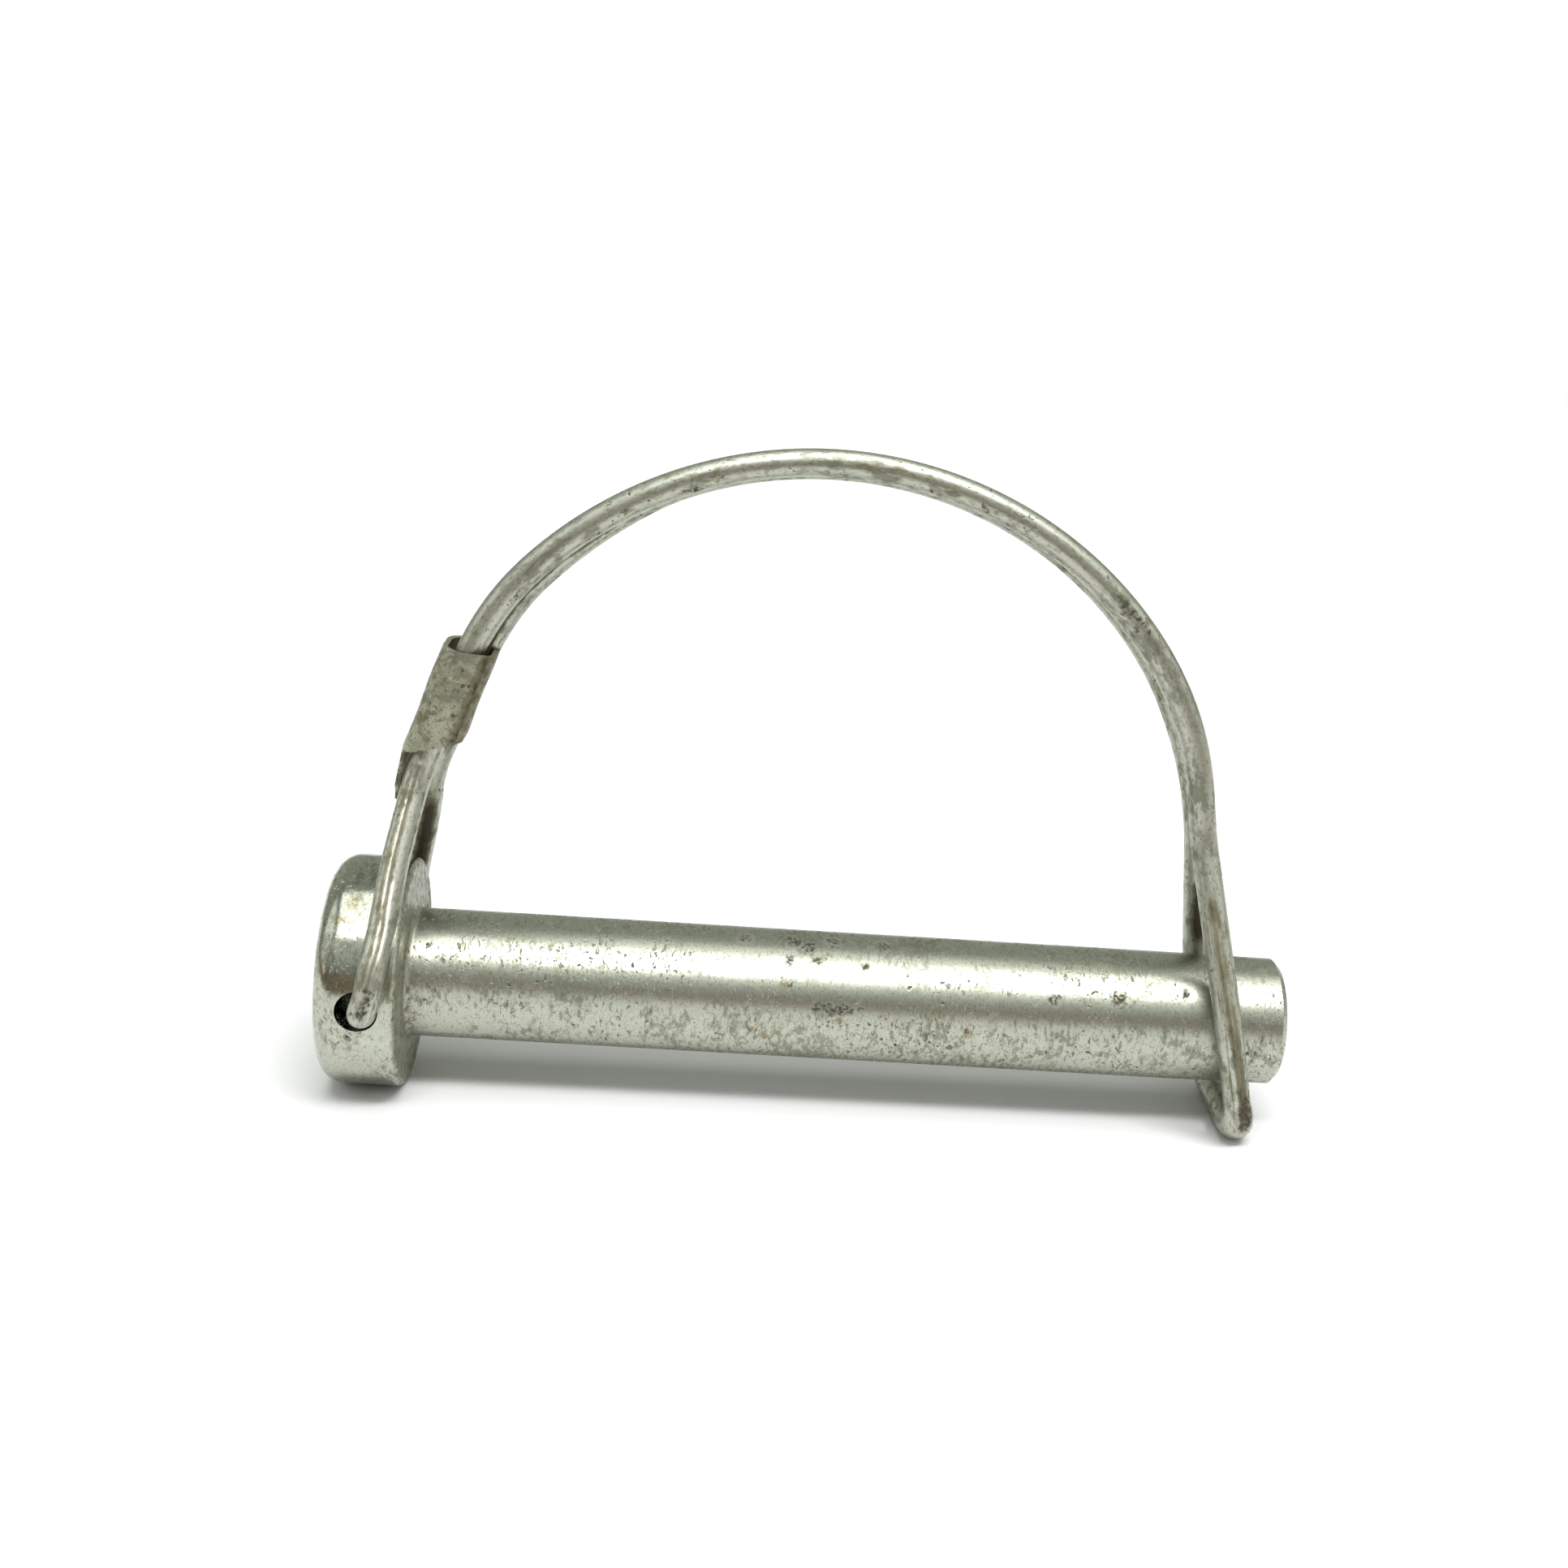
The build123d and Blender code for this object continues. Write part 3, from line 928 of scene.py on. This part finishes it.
# On the wire the first two place a mark round its section and the third is how far along it is.
WIRE_RUST = marks((0.45, -0.9, 140.1, 1.0), (0.1, -1, 139.4, 0.7), (0.6, -0.8, 261.9, 0.3))
WIRE_SOOT = marks(
    (0.5, -0.87, 140.4, 0.95), (0.4, -0.9, 139.6, 0.9), (0.55, -0.8, 141.1, 0.7),
    (0.2, -1, 177.3, 0.35), (0.2, -1, 177.9, 0.4), (0.2, -1, 178.5, 0.5), (0.2, -1, 179.1, 0.5),
    (0.22, -1, 179.7, 0.45), (0.25, -0.95, 180.4, 0.35),
    (-0.1, -1, 260.1, 0.4), (-0.1, -1, 260.6, 0.5), (-0.05, -1, 261.1, 0.5), (0, -1, 261.6, 0.4),
    (0.95, -0.3, 212.7, 0.3), (0.9, -0.45, 199.5, 0.3), (-0.7, -0.7, 198.3, 0.25),
    (-0.7, -0.7, 196.2, 0.25), (-0.7, -0.7, 150.9, 0.2), (-0.3, -0.95, 149.4, 0.2),
)


def object_places(graph):
    """Coordinates fixed to the piece."""
    return graph.node("TexCoord").outputs["Object"]


def wire_places(graph):
    """Coordinates of the wire as if it were straight, with z along it."""
    return graph.node("Attribute", attribute_name="straight").outputs["Vector"]


def floor_material():
    """Pale matt board, its colour painted lighter with distance to make up for the light falling off there,
    so that its far edge doesn't show.
    """
    g = Graph("pale_floor")
    where = object_places(g)
    tone = g.noise(where, 0.12, detail=2)
    colour = g.mix(tone, (0.74, 0.735, 0.745, 1), (0.77, 0.765, 0.775, 1))
    from_front = g.node("VectorMath", operation="DISTANCE")
    g.feed(from_front.inputs[0], where)
    g.feed(from_front.inputs[1], (0, -FLOOR_RADIUS - FLOOR_FRONT, 0))
    # painted light: lighter away from the front, where less light falls
    colour = g.mix(g.step(from_front.outputs["Value"], 0.1, 0.4), colour, (0.97, 0.97, 0.97, 1))
    g.feed(g.shader.inputs["Base Color"], colour)
    g.feed(g.shader.inputs["Roughness"], g.math("ADD", 0.45, g.math("MULTIPLY", tone, 0.1)))
    g.bumps([(g.noise(where, 1.5 * MM), 0.03, 0.1 * MM)])
    return g.material


# --- stage ----------------------------------------------------------------------------------------------
def make_floor(wire):
    """Round pale floor just under the head's rim and the U-bend, which reach to different heights.

    It is level along Y, and its front edge leaves the dark end of the room to be mirrored in the metal.
    """
    head_x = -HEAD_THICK / 2
    head_z = PIN_LOW.z
    bend = min((point.co for point in wire.data.vertices), key=lambda place: place.z)
    tilt = math.atan2(bend.z - head_z, bend.x - head_x)
    points = [(0, 0, 0)]
    faces = []
    sides = 96
    for k in range(sides):
        a = 2 * math.pi * k / sides
        points.append((FLOOR_RADIUS * math.cos(a), FLOOR_RADIUS * math.sin(a), 0))
        faces.append((0, k + 1, (k + 1) % sides + 1))
    floor = add_mesh("floor", points, faces)
    floor.rotation_euler = (0, -tilt, 0)
    clearance = 0.05 * MM
    floor.location = (head_x, FLOOR_FRONT + FLOOR_RADIUS, head_z - clearance)
    floor.data.materials.append(floor_material())


def make_camera():
    """Camera at the photograph's viewing angle."""
    yaw, pitch, roll = CAMERA_YAW, CAMERA_PITCH, CAMERA_ROLL
    ahead = Vector((math.sin(yaw) * math.cos(pitch), math.cos(yaw) * math.cos(pitch), -math.sin(pitch)))
    right = Vector((math.cos(yaw), -math.sin(yaw), 0))
    up = right.cross(ahead)
    rolled_right = right * math.cos(roll) + up * math.sin(roll)
    rolled_up = up * math.cos(roll) - right * math.sin(roll)
    data = bpy.data.cameras.new("camera")
    data.lens = CAMERA_LENS
    data.sensor_width = 36
    data.shift_x, data.shift_y = CAMERA_SHIFT
    data.clip_start = 5 * MM
    data.clip_end = 20
    camera = bpy.data.objects.new("camera", data)
    turn = Matrix((rolled_right, rolled_up, -ahead)).transposed()
    camera.matrix_world = Matrix.Translation(CAMERA_PLACE) @ turn.to_4x4()
    bpy.context.scene.collection.objects.link(camera)
    bpy.context.scene.camera = camera


def add_softbox(name, place, target, size, radiance):
    """Rectangular soft light aimed at a point, as bright at any size as its radiance says."""
    data = bpy.data.lights.new(name, "AREA")
    data.shape = "RECTANGLE"
    data.size, data.size_y = size
    data.energy = radiance * math.pi * size[0] * size[1]
    lamp = bpy.data.objects.new(name, data)
    lamp.location = place
    lamp.rotation_mode = "QUATERNION"
    lamp.rotation_quaternion = (Vector(target) - Vector(place)).to_track_quat("-Z", "Y")
    bpy.context.scene.collection.objects.link(lamp)


# (height, colour) stops of the room: 0 is straight down, 0.5 level and 1 straight up.
FRONT_SKY = [
    (0.0, (0.3, 0.24, 0.18)),
    (0.46, (0.3, 0.24, 0.18)),
    (0.5, (0.24, 0.18, 0.12)),
    (0.6, (0.29, 0.24, 0.19)),
    (0.68, (0.42, 0.46, 0.45)),
    (0.8, (0.7, 0.74, 0.72)),
    (0.9, (0.6, 0.63, 0.6)),
    (1.0, (0.32, 0.35, 0.33)),
]
BACK_SKY = [
    (0.0, (0.6, 0.62, 0.58)),
    (0.48, (0.6, 0.62, 0.58)),
    (0.52, (0.34, 0.365, 0.315)),
    (0.7, (0.42, 0.455, 0.4)),
    (1.0, (0.34, 0.37, 0.325)),
]


def make_world():
    """Soft room round the object: white to the camera, grey-green behind, brighter in front."""
    world = bpy.data.worlds.new("studio")
    bpy.context.scene.world = world
    world.use_nodes = True
    tree = world.node_tree
    tree.nodes.clear()

    def node(kind, **settings):
        made = tree.nodes.new("ShaderNode" + kind)
        for name, value in settings.items():
            setattr(made, name, value)
        return made

    def ramp(value, stops):
        made = node("ValToRGB")
        tree.links.new(value, made.inputs[0])
        elements = made.color_ramp.elements
        while len(elements) < len(stops):
            elements.new(0.5)
        for element, (at, colour) in zip(elements, stops):
            element.position = at
            element.color = (*colour, 1)
        return made.outputs[0]

    place = node("TexCoord")
    parts = node("SeparateXYZ")
    tree.links.new(place.outputs["Generated"], parts.inputs[0])
    height = node("MapRange")
    height.inputs["From Min"].default_value = -1
    tree.links.new(parts.outputs["Z"], height.inputs["Value"])
    front = ramp(height.outputs[0], FRONT_SKY)
    back = ramp(height.outputs[0], BACK_SKY)
    side = node("MapRange", interpolation_type="SMOOTHSTEP")
    side.inputs["From Min"].default_value = -0.25
    side.inputs["From Max"].default_value = 0.25
    tree.links.new(parts.outputs["Y"], side.inputs["Value"])
    sky = node("Mix", data_type="RGBA")
    tree.links.new(side.outputs[0], sky.inputs[0])
    tree.links.new(front, sky.inputs[6])
    tree.links.new(back, sky.inputs[7])
    seen = node("LightPath")
    shown = node("Mix", data_type="RGBA")
    tree.links.new(seen.outputs["Is Camera Ray"], shown.inputs[0])
    tree.links.new(sky.outputs[2], shown.inputs[6])
    shown.inputs[7].default_value = (1, 1, 1, 1)
    light = node("Background")
    tree.links.new(shown.outputs[2], light.inputs[0])
    out = node("OutputWorld")
    tree.links.new(light.outputs[0], out.inputs[0])


def make_lights():
    middle = (30 * MM, 0, 10 * MM)
    add_softbox("overhead_softbox", (0.1, -0.6, 3.03), middle, (2.4, 2.75), 2.2)
    add_softbox("front_key", (0.45, -1.44, 2.74), middle, (2.3, 0.45), 27.0)
    add_softbox("left_softbox", (-1.85, -0.45, 1.1), middle, (1.6, 2.0), 0.8)
    add_softbox("right_softbox", (1.95, -0.5, 1.1), middle, (1.6, 2.0), 0.75)


# --- putting it together --------------------------------------------------------------------------------
pin = make_pin()
pin.data.materials.clear()
pin.data.materials.append(
    zinc("zinc_pin", object_places, (2, 1, 1), (0.12, 1, 1), BRIGHT_ZINC, dull=0.5, dirt=0.7, rough=0.31,
         texture=1.8, polish=head_polish, grime_and_shade_at=painted_neck_and_underside_shade,
         stains=PIN_STAINS, rust=PIN_RUST, soot=PIN_SOOT)
)
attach(pin, "pin")
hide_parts("pin")

wire = make_wire()
wire.data.materials.append(
    zinc("zinc_wire", wire_places, (1, 1, 0.5), (1, 1, 0.12), WIRE_ZINC, dull=0.5, dirt=0.6, rough=0.4,
         texture=1.8, grime_and_shade_at=carried_grime_and_shade, rust=WIRE_RUST, soot=WIRE_SOOT)
)
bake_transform(wire)
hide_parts("wire_front_run", "wire_rear_run", "latch_loop")

ferrule = make_ferrule()
ferrule.data.materials.append(
    zinc("zinc_sheet", object_places, (1, 1, 1), (1, 1, 0.5), SHEET_ZINC, dull=0.6, dirt=1.0, rough=0.38,
         texture=1.8, grime_and_shade_at=carried_grime_and_shade)
)
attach(ferrule, "bail")
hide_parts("ferrule")

make_floor(wire)
make_camera()
make_lights()
make_world()
bpy.context.scene.view_settings.view_transform = "Standard"
